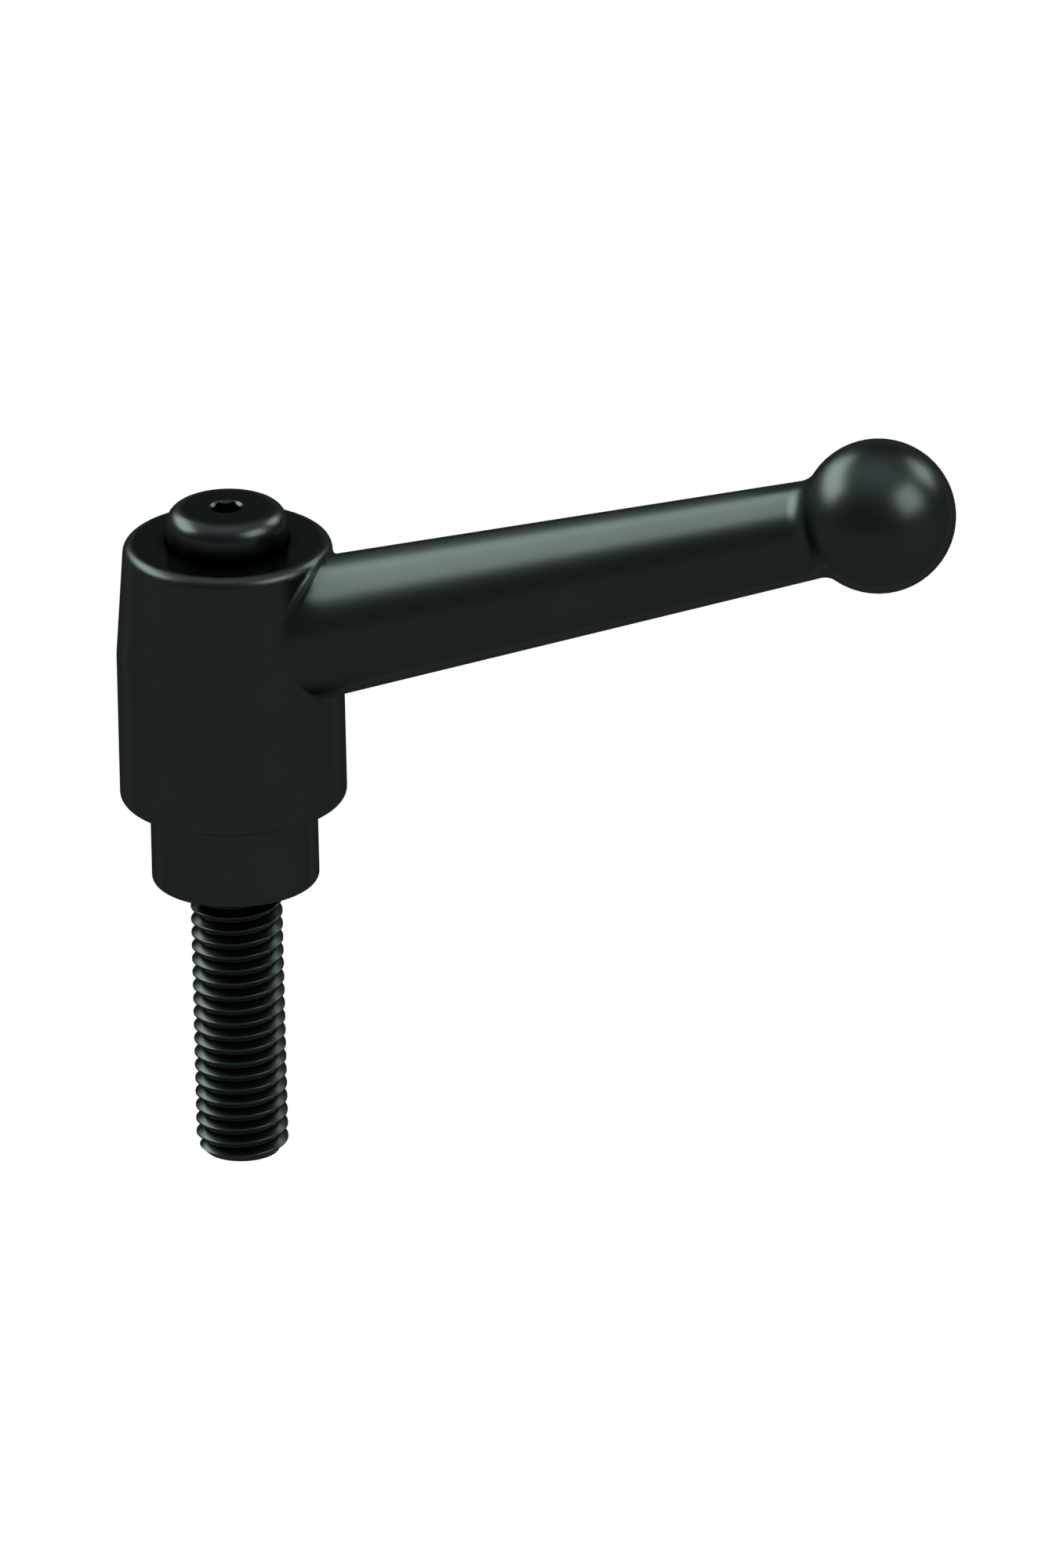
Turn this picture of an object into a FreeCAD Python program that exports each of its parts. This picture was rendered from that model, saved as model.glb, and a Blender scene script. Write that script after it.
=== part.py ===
import FreeCAD, Part
import Sketcher
import math
import os
import re

# Adjustable clamping lever with an M8 stud, in millimetres.
# The origin is the middle of the shank's lower face, which seats on the clamped work.
# +Z runs up the stud's axis to the screw head, and the arm points along +X.
# Four pieces: the cast lever, the turned insert with its stud, the retaining screw and the spring.
# The serrations of insert and lever lock the two together. Lifting the lever against the spring
# frees them, so that it can be turned to another tooth and let down again.

DOCUMENT_NAME = "clamping_lever"
PARTS_FOLDER = "parts"

# Two lengths closer than this count as equal when an edge is looked up.
NEAR = 0.001

# Driving dimensions: alias, value, what it measures.
DIMENSIONS = [
    ("stud_diameter", 8.0, "M8 stud, over the crests"),
    ("stud_length", 25.5, "stud below the shank"),
    ("stud_chamfer", 0.8, "lead at the stud's end"),
    ("shank_diameter", 14.6, "insert's shank"),
    ("shank_bevel", 0.4, "bevel round the shank's lower edge"),
    ("shank_standout", 7.7, "shank seen below the hub"),
    ("shank_inside", 10.5, "shank inside the hub"),
    ("shank_clearance", 0.1, "gap round the shank in the hub's bore"),
    ("serration_count", 24, "teeth round the shank and in the hub"),
    ("serration_depth", 0.6, "depth of the grooves between the teeth"),
    ("serration_mouth", 1.0, "width of a groove at the shank's surface"),
    ("serration_bottom", 0.4, "width of a groove at its bottom"),
    ("serration_clearance", 0.06, "gap between a groove and the tooth in it"),
    ("serration_runout", 0.4, "groove below the hub's teeth"),
    ("lift_travel", 3.6, "how far the lever lifts to turn freely"),
    ("lift_spare", 0.4, "lift left over once the teeth are clear"),
    ("insert_bevel", 0.3, "bevel round the insert's upper edge"),
    ("hub_diameter", 19.8, "straight part of the hub"),
    ("hub_top_diameter", 18.2, "hub at its top, before rounding"),
    ("hub_size", 24.0, "hub from its lower to its upper face"),
    ("hub_straight", 13.7, "straight part, up to where the taper starts"),
    ("hub_bottom_round", 0.75, "rounding of the hub's lower edge"),
    ("hub_top_round", 0.95, "rounding of the hub's upper edge"),
    ("web_thickness", 3.0, "floor that the spring stands on"),
    ("arm_offset", 14.15, "arm's axis above the hub's lower face, at the hub's axis"),
    ("arm_rise", 18.5, "slope of the arm, degrees"),
    ("arm_length", 65.0, "hub's axis to the ball's centre, along the arm"),
    ("arm_root_diameter", 12.95, "arm, measured at the hub's axis"),
    ("arm_end_diameter", 8.15, "arm, measured at the ball's centre"),
    ("arm_root_round", 0.6, "fillet between the arm and the hub"),
    ("ball_diameter", 13.55, "grip ball"),
    ("neck_round", 1.8, "fillet between the arm and the ball"),
    ("head_diameter", 10.6, "retaining screw's head"),
    ("head_size", 6.0, "thickness of the head"),
    ("head_standout", 3.25, "head above the hub's upper face"),
    ("head_round", 1.55, "rounding of the head's upper edge"),
    ("head_clearance", 0.2, "gap round the head in the hub's pocket"),
    ("socket_width", 2.5, "hexagon socket, across flats"),
    ("socket_depth", 2.2, "depth of the socket"),
    ("socket_rim", 3.0, "bevelled mouth of the socket"),
    ("socket_turn", 23.0, "direction of one corner of the socket, degrees from the arm"),
    ("shoulder_diameter", 6.0, "screw's shoulder, inside the spring"),
    ("shoulder_clearance", 0.2, "gap round the shoulder in the web"),
    ("screw_diameter", 4.0, "screw's thread, over the crests"),
    ("screw_reach", 9.5, "screw's thread in the insert"),
    ("screw_chamfer", 0.4, "lead at the screw's end"),
    ("tapping_clearance", 0.02, "gap round the screw's thread"),
    ("tapping_depth", 12.0, "tapped hole in the insert"),
    ("tapping_point", 118.0, "point of the hole, degrees"),
    ("spring_wire", 0.8, "wire, across the flats of the hexagon that stands for its round section"),
    ("spring_diameter", 8.4, "coil, over the wire's centre"),
    ("spring_turns", 2, "open turns between the two closed ones"),
    ("spring_end_gap", 0.06, "gap between a closed turn and the next one"),
]

# Values that follow from the driving ones: alias, formula, what it measures.
DERIVED = [
    ("hub_foot", "shank_standout", "height of the hub's lower face"),
    ("insert_top", "hub_foot + shank_inside", "height of the insert's upper face"),
    ("web_top", "insert_top + web_thickness", "height of the spring's seat"),
    ("hub_crown", "hub_foot + hub_size", "height of the hub's upper face"),
    ("head_crown", "hub_crown + head_standout", "height of the screw's top"),
    ("head_seat", "head_crown - head_size", "height of the head's underside"),
    ("arm_start", "hub_foot + arm_offset", "height of the arm's axis at the hub's axis"),
    ("bore_diameter", "shank_diameter + 2 * shank_clearance", "bore round the shank"),
    ("pocket_diameter", "head_diameter + 2 * head_clearance", "pocket round the screw head"),
    ("web_hole_diameter", "shoulder_diameter + 2 * shoulder_clearance", "hole round the shoulder"),
    ("tapping_diameter", "screw_diameter + 2 * tapping_clearance", "hole for the screw"),
    ("serration_length", "lift_travel - lift_spare", "length of the hub's teeth"),
    ("serration_foot", "insert_top - serration_length", "height of the teeth's lower ends"),
    ("serration_slope", "(serration_mouth - serration_bottom) / (2 * serration_depth)", "flank of a groove"),
    ("spring_length", "head_seat - web_top", "spring as fitted"),
    ("spring_end_pitch", "spring_wire + spring_end_gap", "rise of a closed turn"),
    ("spring_pitch", "(spring_length - 2 * spring_end_pitch) / spring_turns", "rise of an open turn"),
]

doc = FreeCAD.newDocument(DOCUMENT_NAME)
sheet = doc.addObject("Spreadsheet::Sheet", "Sizes")


def fill_sheet():
    """Write the driving and the derived dimensions, one row each, with their aliases."""
    rows = [(name, str(value), note) for name, value, note in DIMENSIONS]
    rows += [(name, "=" + formula, note) for name, formula, note in DERIVED]
    for row, (name, content, note) in enumerate(rows, start=1):
        sheet.set(f"A{row}", note)
        sheet.set(f"B{row}", content)
        sheet.setAlias(f"B{row}", name)
    doc.recompute()


def linked(formula):
    """The formula with the sheet's name before each alias, as an expression needs it."""
    return re.sub(r"[a-z]+_[a-z_]+", lambda match: f"{sheet.Name}.{match.group(0)}", formula)


def value_of(formula):
    """Value of a formula on the sheet's aliases."""
    return float(sheet.evalExpression(linked(formula)))


def new_body(label):
    """An empty body whose label is the node's name."""
    body = doc.addObject("PartDesign::Body", label)
    body.Label = label
    return body


def origin_part(body, role):
    """One of the body's own origin planes or axes."""
    return next(part for part in body.Origin.OriginFeatures if part.Role == role)


def new_sketch(body, name, plane="XZ_Plane", height=None):
    """A sketch on one of the body's origin planes, raised along its normal by a formula."""
    sketch = body.newObject("Sketcher::SketchObject", name)
    sketch.AttachmentSupport = [(origin_part(body, plane), "")]
    sketch.MapMode = "FlatFace"
    if height is not None:
        sketch.setExpression("AttachmentOffset.Base.z", linked(height))
    return sketch


def hold(sketch, kind, *details, formula=None):
    """Add one constraint, and drive it by a formula where it has a size."""
    if formula is None:
        return sketch.addConstraint(Sketcher.Constraint(kind, *details))
    start = value_of(formula)
    if kind == "Angle":
        start = math.radians(start)
    index = sketch.addConstraint(Sketcher.Constraint(kind, *details, start))
    sketch.setExpression(f"Constraints[{index}]", linked(formula))
    return index


def place_corner(sketch, line, across, up):
    """Hold the start of a line at two formulas, measured from the sketch's origin."""
    for formula, kind, axis in ((across, "DistanceX", -2), (up, "DistanceY", -1)):
        if formula == "0":
            hold(sketch, "PointOnObject", line, 1, axis)
        else:
            hold(sketch, kind, -1, 1, line, 1, formula=formula)


def draw_outline(sketch, corners):
    """A closed outline of straight lines whose corners are pairs of formulas."""
    points = [FreeCAD.Vector(value_of(across), value_of(up), 0) for across, up in corners]
    count = len(points)
    for index in range(count):
        sketch.addGeometry(Part.LineSegment(points[index], points[(index + 1) % count]), False)
    for index in range(count):
        hold(sketch, "Coincident", index, 2, (index + 1) % count, 1)
    for index, (across, up) in enumerate(corners):
        place_corner(sketch, index, across, up)


def turn(body, kind, name, corners):
    """A Revolution or Groove of an outline, radius and height, about the body's Z axis."""
    sketch = new_sketch(body, name + "_profile")
    draw_outline(sketch, corners)
    feature = body.newObject("PartDesign::" + kind, name)
    feature.Profile = sketch
    feature.ReferenceAxis = (origin_part(body, "Z_Axis"), [""])
    feature.Angle = 360.0
    doc.recompute()
    return feature


def ring_edge(body, radius_formula, height_formula):
    """Name of the body's circular edge round the Z axis at a radius and a height."""
    radius = value_of(radius_formula)
    height = value_of(height_formula)
    for index, edge in enumerate(body.Shape.Edges, start=1):
        if isinstance(edge.Curve, Part.Circle):
            centre = edge.Curve.Center
            offset = math.hypot(centre.x, centre.y)
            if max(offset, abs(centre.z - height), abs(edge.Curve.Radius - radius)) < NEAR:
                return f"Edge{index}"
    raise ValueError(f"{body.Label} has no ring of radius {radius} at height {height}")


def dress(body, kind, name, edges, formula):
    """A Fillet or Chamfer of a formula's size on edges of the body's last feature."""
    base = body.Tip
    feature = body.newObject("PartDesign::" + kind, name)
    feature.Base = (base, edges)
    feature.setExpression("Radius" if kind == "Fillet" else "Size", linked(formula))
    doc.recompute()
    return feature


def repeat_round(body, feature, name):
    """One copy of a feature for each serration, round the Z axis."""
    pattern = body.newObject("PartDesign::PolarPattern", name)
    pattern.Originals = [feature]
    pattern.Axis = (origin_part(body, "Z_Axis"), [""])
    pattern.Angle = 360.0
    pattern.setExpression("Occurrences", linked("serration_count"))
    body.Tip = pattern
    doc.recompute()
    return pattern


def draw_arm(sketch):
    """Half the arm and ball, above the arm's axis, which is the sketch's construction line."""
    rise = math.radians(value_of("arm_rise"))
    along = FreeCAD.Vector(math.cos(rise), math.sin(rise), 0)
    across = FreeCAD.Vector(-math.sin(rise), math.cos(rise), 0)
    start = FreeCAD.Vector(0, value_of("arm_start"), 0)
    centre = start + along * value_of("arm_length")
    ball = value_of("ball_diameter / 2")
    root = start + across * value_of("arm_root_diameter / 2")
    end = centre + across * value_of("arm_end_diameter / 2")
    tip = centre + along * ball
    back = math.pi - math.asin(value_of("arm_end_diameter") / 2 / ball)
    joint = centre + along * (ball * math.cos(back)) + across * (ball * math.sin(back))
    circle = Part.Circle(centre, FreeCAD.Vector(0, 0, 1), ball)
    axis = sketch.addGeometry(Part.LineSegment(start, centre), True)
    foot = sketch.addGeometry(Part.LineSegment(start, root), False)
    flank = sketch.addGeometry(Part.LineSegment(root, joint), False)
    round_end = sketch.addGeometry(Part.ArcOfCircle(circle, rise, rise + back), False)
    spine = sketch.addGeometry(Part.LineSegment(tip, start), False)
    gauge = sketch.addGeometry(Part.LineSegment(centre, end), True)
    hold(sketch, "PointOnObject", axis, 1, -2)
    hold(sketch, "DistanceY", -1, 1, axis, 1, formula="arm_start")
    hold(sketch, "Angle", axis, formula="arm_rise")
    hold(sketch, "Distance", axis, formula="arm_length")
    hold(sketch, "Coincident", foot, 1, axis, 1)
    hold(sketch, "Perpendicular", foot, axis)
    hold(sketch, "Distance", foot, formula="arm_root_diameter / 2")
    hold(sketch, "Coincident", flank, 1, foot, 2)
    hold(sketch, "Coincident", round_end, 3, axis, 2)
    hold(sketch, "Coincident", flank, 2, round_end, 2)
    hold(sketch, "Radius", round_end, formula="ball_diameter / 2")
    hold(sketch, "Coincident", spine, 1, round_end, 1)
    hold(sketch, "Coincident", spine, 2, axis, 1)
    hold(sketch, "PointOnObject", spine, 1, axis)
    hold(sketch, "Coincident", gauge, 1, axis, 2)
    hold(sketch, "Perpendicular", gauge, axis)
    hold(sketch, "Distance", gauge, formula="arm_end_diameter / 2")
    hold(sketch, "PointOnObject", gauge, 2, flank)


def make_lever():
    """Hub, arm and ball cast in one, with the bores and the inner teeth."""
    body = new_body("lever")
    turn(body, "Revolution", "hub", [
        ("0", "hub_foot"),
        ("hub_diameter / 2", "hub_foot"),
        ("hub_diameter / 2", "hub_foot + hub_straight"),
        ("hub_top_diameter / 2", "hub_crown"),
        ("0", "hub_crown"),
    ])
    foot_edge = ring_edge(body, "hub_diameter / 2", "hub_foot")
    dress(body, "Fillet", "hub_foot_round", [foot_edge], "hub_bottom_round")
    crown_edge = ring_edge(body, "hub_top_diameter / 2", "hub_crown")
    dress(body, "Fillet", "hub_crown_round", [crown_edge], "hub_top_round")
    sketch = new_sketch(body, "arm_profile")
    draw_arm(sketch)
    doc.recompute()
    arm = body.newObject("PartDesign::Revolution", "arm")
    arm.Profile = sketch
    arm.ReferenceAxis = (sketch, ["Axis0"])
    arm.Angle = 360.0
    doc.recompute()
    root_edges, neck_edges = arm_edges(body)
    dress(body, "Fillet", "arm_root", root_edges, "arm_root_round")
    root_edges, neck_edges = arm_edges(body)
    dress(body, "Fillet", "ball_neck", neck_edges, "neck_round")
    turn(body, "Groove", "bores", [
        ("0", "hub_foot"),
        ("bore_diameter / 2", "hub_foot"),
        ("bore_diameter / 2", "insert_top"),
        ("web_hole_diameter / 2", "insert_top"),
        ("web_hole_diameter / 2", "web_top"),
        ("pocket_diameter / 2", "web_top"),
        ("pocket_diameter / 2", "hub_crown"),
        ("0", "hub_crown"),
    ])
    sketch = new_sketch(body, "tooth_profile", "XY_Plane", "serration_foot")
    draw_tooth(sketch, "serration_clearance")
    tooth = body.newObject("PartDesign::Pad", "tooth")
    tooth.Profile = sketch
    tooth.setExpression("Length", linked("serration_length + web_thickness / 2"))
    doc.recompute()
    repeat_round(body, tooth, "teeth")
    return body


def arm_edges(body):
    """Names of the edges where the arm meets the hub, and of the one where it meets the ball."""
    hub = value_of("hub_diameter / 2")
    ball_start = value_of("(arm_length - ball_diameter / 2) * cos(arm_rise)")
    ball_end = value_of("arm_length * cos(arm_rise)")
    root = []
    neck = []
    for index, edge in enumerate(body.Shape.Edges, start=1):
        box = edge.BoundBox
        if box.XMin > hub / 2 and box.XMax < hub + NEAR and max(box.YMax, -box.YMin) > NEAR:
            root.append(f"Edge{index}")
        if box.XMin > ball_start - hub / 2 and box.XMax < ball_end and box.YLength > hub / 2:
            neck.append(f"Edge{index}")
    return root, neck


def draw_tooth(sketch, gap):
    """A groove's section pointing along +X, narrowed and shortened by a gap for the tooth in it."""
    draw_outline(sketch, [
        (f"shank_diameter / 2 - serration_depth + {gap}",
         f"-(serration_bottom / 2 + serration_slope * {gap} - {gap})"),
        ("shank_diameter / 2 + serration_depth",
         f"-(serration_bottom / 2 + serration_slope * 2 * serration_depth - {gap})"),
        ("shank_diameter / 2 + serration_depth",
         f"serration_bottom / 2 + serration_slope * 2 * serration_depth - {gap}"),
        (f"shank_diameter / 2 - serration_depth + {gap}",
         f"serration_bottom / 2 + serration_slope * {gap} - {gap}"),
    ])


def make_insert():
    """Stud and shank turned in one, grooved round its upper end and tapped for the screw."""
    body = new_body("threaded_insert")
    turn(body, "Revolution", "turned_blank", [
        ("0", "-stud_length"),
        ("stud_diameter / 2", "-stud_length"),
        ("stud_diameter / 2", "0"),
        ("shank_diameter / 2", "0"),
        ("shank_diameter / 2", "insert_top"),
        ("0", "insert_top"),
    ])
    end_edge = ring_edge(body, "stud_diameter / 2", "-stud_length")
    dress(body, "Chamfer", "stud_lead", [end_edge], "stud_chamfer")
    seat_edge = ring_edge(body, "shank_diameter / 2", "0")
    dress(body, "Chamfer", "seat_bevel", [seat_edge], "shank_bevel")
    top_edge = ring_edge(body, "shank_diameter / 2", "insert_top")
    dress(body, "Chamfer", "top_bevel", [top_edge], "insert_bevel")
    turn(body, "Groove", "tapped_hole", [
        ("0", "insert_top"),
        ("tapping_diameter / 2", "insert_top"),
        ("tapping_diameter / 2", "insert_top - tapping_depth"),
        ("0", "insert_top - tapping_depth - tapping_diameter / 2 / tan(tapping_point / 2)"),
    ])
    sketch = new_sketch(body, "groove_profile", "XY_Plane", "insert_top")
    draw_tooth(sketch, "0")
    groove = body.newObject("PartDesign::Pocket", "groove")
    groove.Profile = sketch
    groove.setExpression("Length", linked("serration_length + serration_runout"))
    doc.recompute()
    repeat_round(body, groove, "grooves")
    return body


def make_screw():
    """Rounded head with a hexagon socket, a shoulder that seats on the insert, and the thread's core."""
    body = new_body("retaining_screw")
    turn(body, "Revolution", "screw_blank", [
        ("0", "insert_top - screw_reach"),
        ("screw_diameter / 2", "insert_top - screw_reach"),
        ("screw_diameter / 2", "insert_top"),
        ("shoulder_diameter / 2", "insert_top"),
        ("shoulder_diameter / 2", "head_seat"),
        ("head_diameter / 2", "head_seat"),
        ("head_diameter / 2", "head_crown"),
        ("0", "head_crown"),
    ])
    end_edge = ring_edge(body, "screw_diameter / 2", "insert_top - screw_reach")
    dress(body, "Chamfer", "screw_lead", [end_edge], "screw_chamfer")
    crown_edge = ring_edge(body, "head_diameter / 2", "head_crown")
    dress(body, "Fillet", "head_edge", [crown_edge], "head_round")
    sketch = new_sketch(body, "socket_profile", "XY_Plane", "head_crown")
    draw_outline(sketch, [
        (f"socket_width / sqrt(3) * cos(socket_turn + {turned})",
         f"socket_width / sqrt(3) * sin(socket_turn + {turned})")
        for turned in range(0, 360, 60)
    ])
    socket = body.newObject("PartDesign::Pocket", "socket")
    socket.Profile = sketch
    socket.setExpression("Length", linked("socket_depth"))
    doc.recompute()
    turn(body, "Groove", "socket_mouth", [
        ("0", "head_crown"),
        ("socket_rim / 2", "head_crown"),
        ("0", "head_crown - socket_rim / 2"),
    ])
    return body


def add_coil(body, name, height, pitch, turns):
    """A coil of hexagonal wire that starts on the XZ plane at a height."""
    sketch = new_sketch(body, name + "_wire")
    draw_outline(sketch, [
        (f"spring_diameter / 2 + spring_wire / sqrt(3) * cos({turned})",
         f"{height} + spring_wire / sqrt(3) * sin({turned})")
        for turned in range(0, 360, 60)
    ])
    doc.recompute()
    coil = body.newObject("PartDesign::AdditiveHelix", name)
    coil.Profile = sketch
    coil.ReferenceAxis = (origin_part(body, "Z_Axis"), [""])
    coil.Mode = "pitch-turns-angle"
    coil.setExpression("Pitch", linked(pitch))
    coil.setExpression("Turns", linked(turns))
    doc.recompute()
    return coil


def make_spring():
    """Compression spring with one closed turn at each end, both ends ground flat."""
    body = new_body("compression_spring")
    add_coil(body, "lower_turn", "web_top", "spring_end_pitch", "1")
    add_coil(body, "open_turns", "web_top + spring_end_pitch", "spring_pitch", "spring_turns")
    add_coil(body, "upper_turn", "head_seat - spring_end_pitch", "spring_end_pitch", "1")
    turn(body, "Groove", "lower_grinding", [
        ("0", "web_top - spring_wire"),
        ("spring_diameter", "web_top - spring_wire"),
        ("spring_diameter", "web_top"),
        ("0", "web_top"),
    ])
    turn(body, "Groove", "upper_grinding", [
        ("0", "head_seat"),
        ("spring_diameter", "head_seat"),
        ("spring_diameter", "head_seat + spring_wire"),
        ("0", "head_seat + spring_wire"),
    ])
    return body


def check(nodes):
    """Stop if any object failed to compute or any node's shape is unusable."""
    for item in doc.Objects:
        if "Invalid" in item.State or "Error" in item.State:
            raise RuntimeError(f"{item.Name} failed: {item.State}")
    for node in nodes:
        if node.Shape.isNull() or not node.Shape.isValid() or len(node.Shape.Solids) != 1:
            raise RuntimeError(f"{node.Label} is not one valid solid")


def main():
    fill_sheet()
    nodes = [make_lever(), make_insert(), make_screw(), make_spring()]
    doc.recompute()
    check(nodes)
    os.makedirs(PARTS_FOLDER, exist_ok=True)
    for node in nodes:
        node.Shape.exportStep(os.path.join(PARTS_FOLDER, node.Label + ".step"))
        box = node.Shape.BoundBox
        print(f"{node.Label}: {node.Shape.Volume:.1f} mm3, z {box.ZMin:.2f} to {box.ZMax:.2f}")


if __name__ == "__main__":
    main()
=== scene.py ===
import math
from functools import partial

import bmesh
import bpy
from mathutils import Matrix, Vector


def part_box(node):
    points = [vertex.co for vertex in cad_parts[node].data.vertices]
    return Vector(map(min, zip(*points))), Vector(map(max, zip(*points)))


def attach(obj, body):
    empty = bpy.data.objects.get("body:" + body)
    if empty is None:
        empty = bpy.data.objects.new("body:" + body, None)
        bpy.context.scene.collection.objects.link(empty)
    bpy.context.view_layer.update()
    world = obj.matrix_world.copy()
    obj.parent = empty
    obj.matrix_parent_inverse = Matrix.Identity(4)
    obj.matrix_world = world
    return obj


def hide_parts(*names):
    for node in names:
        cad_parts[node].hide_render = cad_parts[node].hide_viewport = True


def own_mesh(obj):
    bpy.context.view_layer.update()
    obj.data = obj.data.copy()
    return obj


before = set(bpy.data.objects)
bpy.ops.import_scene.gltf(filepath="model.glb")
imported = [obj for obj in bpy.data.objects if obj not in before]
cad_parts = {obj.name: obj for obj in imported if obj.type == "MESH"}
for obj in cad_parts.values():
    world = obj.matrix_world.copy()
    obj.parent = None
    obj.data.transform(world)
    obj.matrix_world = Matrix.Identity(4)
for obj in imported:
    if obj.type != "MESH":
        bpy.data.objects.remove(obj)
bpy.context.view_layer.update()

# Dresses the adjustable clamping lever: black coat on the casting, black oxide on the turned
# parts, the cut thread on the stud and the coil spring. Everything is in metres in the CAD frame:
# the origin is the middle of the shank's lower face, +Z the stud's axis, +X the arm's side.

bl_info = {
    "name": "Clamping lever dressing",
    "version": (1, 0, 0),
    "blender": (4, 5, 0),
    "location": "View3D > Sidebar > Lever",
    "description": "Finishes, thread, spring and studio for the adjustable clamping lever",
    "category": "Object",
}

MM = 0.001
HUB_RADIUS = -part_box("lever")[0].x
INSERT_LOW, INSERT_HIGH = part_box("threaded_insert")
SPRING_LOW, SPRING_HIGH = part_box("compression_spring")

# Soft boxes round the object: name, direction round the Z axis from +X, height above the horizon,
# angles across and up that the box fills, all in degrees, and its brightness beside white. They
# face the middle of the lever.
SOFT_BOXES = (
    ("left_box", 175.0, 35.0, 58.0, 28.0, 23.5),
    ("right_box", -6.0, 35.5, 36.0, 32.0, 14.0),
    ("back_box", 57.7, 31.0, 26.0, 24.0, 18.5),
)
LAMP_TARGET = Vector((0.03, 0.0, 0.02))

# The sky grows brighter with this power of a direction's height.
SKY_POWER = 6.0
FLOOR_RADIUS = 8.0
FLOOR_SIDES = 96

# Camera, with the photograph's height in pixels and its scale.
PICTURE_PIXELS = 2000.0
PIXELS_PER_MM = 14.65
CAMERA_DISTANCE = 0.3
CAMERA_NEAR = 0.01
CAMERA_FAR = 20.0

# Black finishes: tint of their reflections near the silhouettes, the slope at which it is measured,
# as one less the cosine, and the light scattered there as a share of the light that is mirrored.
EDGE_TINT = (0.4915, 0.494, 0.4934)
EDGE_SLOPE = 6.0 / 7.0
SCATTERED = 0.75

# Slow patches in a finish: how many in a metre, and the two shares of the colour between them.
PATCH_SCALE = 160.0
PATCHES = (0.93, 1.07)
WIRE_PATCHES = (0.8, 1.0)

# Fine grain of a finish: bumps in a metre, and their height. The wire's changes its blur instead.
COAT_GRAIN = (5200.0, 1.2e-6)
OXIDE_GRAIN = (8000.0, 8e-7)
TURNING_MARKS = 7000.0
WIRE_GRAIN = 9000.0
WIRE_GLOSS = (0.26, 0.42)

# Painted shade: openness of a recess, measured by ambient occlusion, at which a black finish's colour and
# gloss are painted out to black,
# and at which it keeps all of them: first on the casting and the screw, then on the insert, whose thread is
# open only at its crests.
PAINTED_SHADE_OPENNESS = (0.50, 0.80)
THREAD_PAINTED_SHADE_OPENNESS = (0.30, 0.62)
PAINTED_SHADE_SAMPLES = 16

# A face this nearly level counts as flat, as the cosine of its slope.
FLAT_FACE = 0.995

# Area below which a face is empty, length below which an edge is, and how near two points are to
# count as one, when a mesh is welded and elsewhere.
EMPTY_FACE = 1e-12
EMPTY_EDGE = 1e-8
WELD = 1e-7
SAME_POINT = 1e-6

# Rings that the rounding between arm and ball is cut into, and how near a point is to lie on one.
NECK_RINGS = 14
RING_REACH = 2e-5

# Steps round the thread and along one pitch of it, along a turn of the coil, round its wire and
# through the shank's lower edge.
THREAD_SEGMENTS = 96
THREAD_ROWS = 8
COIL_STEPS = 64
WIRE_SIDES = 16
EDGE_STEPS = 8

# Points on the land between two grooves, as shares of its width, and half the drilled hole's point.
LAND_POINTS = (0.25, 0.5, 0.75)
DRILL_SLOPE = math.radians(59.0)

# Edges that turn by more than this stay sharp.
SHANK_SHARP = math.radians(30.0)
THREAD_SHARP = math.radians(10.0)
COIL_SHARP = math.radians(50.0)


# Sizes and colours that a user may change

class StudThreadSizes(bpy.types.PropertyGroup):
    """Thread cut on the stud."""

    pitch: bpy.props.FloatProperty(
        name="Pitch", description="Rise of the thread in one turn", default=1.25 * MM, unit="LENGTH")
    crest_diameter: bpy.props.FloatProperty(
        name="Crest diameter", description="Stud over its crests", default=8.0 * MM, unit="LENGTH")
    depth: bpy.props.FloatProperty(
        name="Depth", description="Crest to root", default=0.80 * MM, unit="LENGTH")
    crest_share: bpy.props.FloatProperty(
        name="Crest share", description="Flat crest as a share of the pitch", default=0.13,
        subtype="FACTOR", min=0.05, max=0.4)
    root_share: bpy.props.FloatProperty(
        name="Root share", description="Flat root as a share of the pitch", default=0.10,
        subtype="FACTOR", min=0.05, max=0.4)
    edge_share: bpy.props.FloatProperty(
        name="Edge share", description="Broken edge as a share of the pitch", default=0.018,
        subtype="FACTOR", min=0.001, max=0.05)
    start_angle: bpy.props.FloatProperty(
        name="Start", description="Direction in which a crest meets the shank's lower face",
        default=math.radians(-135.0), subtype="ANGLE")
    end_diameter: bpy.props.FloatProperty(
        name="End diameter", description="Stud's end face inside its lead", default=6.4 * MM, unit="LENGTH")
    overlap: bpy.props.FloatProperty(
        name="Overlap", description="Length hidden in the shank", default=1.5 * MM, unit="LENGTH")


class CastingSizes(bpy.types.PropertyGroup):
    """Arm and ball of the casting, and the rounding between them."""

    arm_rise: bpy.props.FloatProperty(
        name="Arm rise", description="Slope of the arm", default=math.radians(18.5), subtype="ANGLE")
    arm_height: bpy.props.FloatProperty(
        name="Arm height", description="Where the arm's axis meets the stud's", default=21.85 * MM,
        unit="LENGTH")
    arm_length: bpy.props.FloatProperty(
        name="Arm length", description="Stud's axis to the ball's centre along the arm",
        default=65.0 * MM, unit="LENGTH")
    root_diameter: bpy.props.FloatProperty(
        name="Root diameter", description="Arm at the stud's axis", default=12.95 * MM, unit="LENGTH")
    end_diameter: bpy.props.FloatProperty(
        name="End diameter", description="Arm at the ball's centre", default=8.15 * MM, unit="LENGTH")
    ball_diameter: bpy.props.FloatProperty(
        name="Ball", description="Ball's diameter", default=13.55 * MM, unit="LENGTH")
    neck_round: bpy.props.FloatProperty(
        name="Neck round", description="Rounding between the arm and the ball", default=3.7 * MM,
        unit="LENGTH")


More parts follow.
